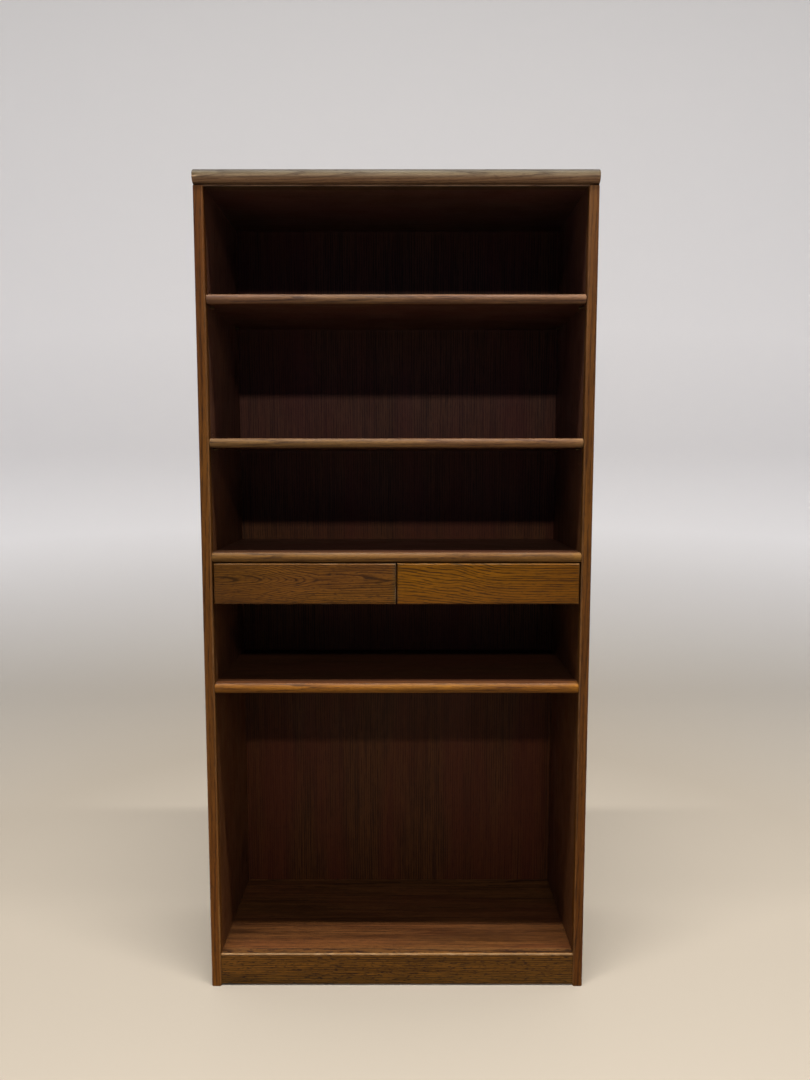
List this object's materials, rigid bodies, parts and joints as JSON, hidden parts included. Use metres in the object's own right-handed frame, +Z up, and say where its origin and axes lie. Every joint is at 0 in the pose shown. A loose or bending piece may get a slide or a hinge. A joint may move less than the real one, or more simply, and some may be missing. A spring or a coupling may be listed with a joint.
{
  "type": "bookcase with drawers",
  "caption": "Tall open-front bookcase in dark-stained oak with bullnose shelves, a rounded top board, a plinth and a pair of handle-less drawers at mid-height.",
  "frame": {"origin": "on the floor, at the middle of the bookcase's footprint", "axes": "+Z up, front faces -Y, +X to the viewer's right"},
  "size_m": [0.85, 0.3465, 1.805],
  "materials": {
    "case_oak": "dark-stained oak under a satin lacquer",
    "lipping_oak": "solid oak, stained, satin, a little worn on its arrises",
    "front_oak_left": "stained oak with ray fleck, satin",
    "front_oak_right": "stained oak with flowing grain, satin",
    "back_board": "stained oak veneer, matt",
    "drawer_box_wood": "pale hardwood, waxed",
    "drawer_ply": "plywood, sanded",
    "plain_beech": "beech, unfinished",
    "peg_brass": "turned brass, dulled",
    "nail_steel": "bright steel wire"
  },
  "bodies": {
    "carcase": {"side_left": "case_oak", "side_right": "case_oak", "side_lipping_left": "lipping_oak", "side_lipping_right": "lipping_oak", "top_board": "case_oak", "top_lipping": "lipping_oak", "shelf_1": "case_oak", "shelf_1_lipping": "lipping_oak", "shelf_2": "case_oak", "shelf_2_lipping": "lipping_oak", "shelf_3": "case_oak", "shelf_3_lipping": "lipping_oak", "shelf_4": "case_oak", "shelf_4_lipping": "lipping_oak", "drawer_floor": "case_oak", "drawer_divider": "case_oak", "bottom_board": "case_oak", "plinth_front": "lipping_oak", "plinth_back": "case_oak", "glue_blocks": "plain_beech", "back_panel": "back_board", "shelf_pegs": "peg_brass", "top_dowels": "plain_beech", "back_nails": "nail_steel"},
    "drawer_left": {"drawer_left_front": "front_oak_left", "drawer_left_back": "drawer_box_wood", "drawer_left_outer_side": "drawer_box_wood", "drawer_left_inner_side": "drawer_box_wood", "drawer_left_bottom": "drawer_ply", "drawer_left_bottom_nails": "nail_steel"},
    "drawer_right": {"drawer_right_front": "front_oak_right", "drawer_right_back": "drawer_box_wood", "drawer_right_outer_side": "drawer_box_wood", "drawer_right_inner_side": "drawer_box_wood", "drawer_right_bottom": "drawer_ply", "drawer_right_bottom_nails": "nail_steel"}
  },
  "joints": [
    {"name": "drawer_left_slide", "type": "slide", "parent": "carcase", "child": "drawer_left", "axis": [0, -1, 0], "range_m": [0, 0.24]},
    {"name": "drawer_right_slide", "type": "slide", "parent": "carcase", "child": "drawer_right", "axis": [0, -1, 0], "range_m": [0, 0.24]}
  ]
}
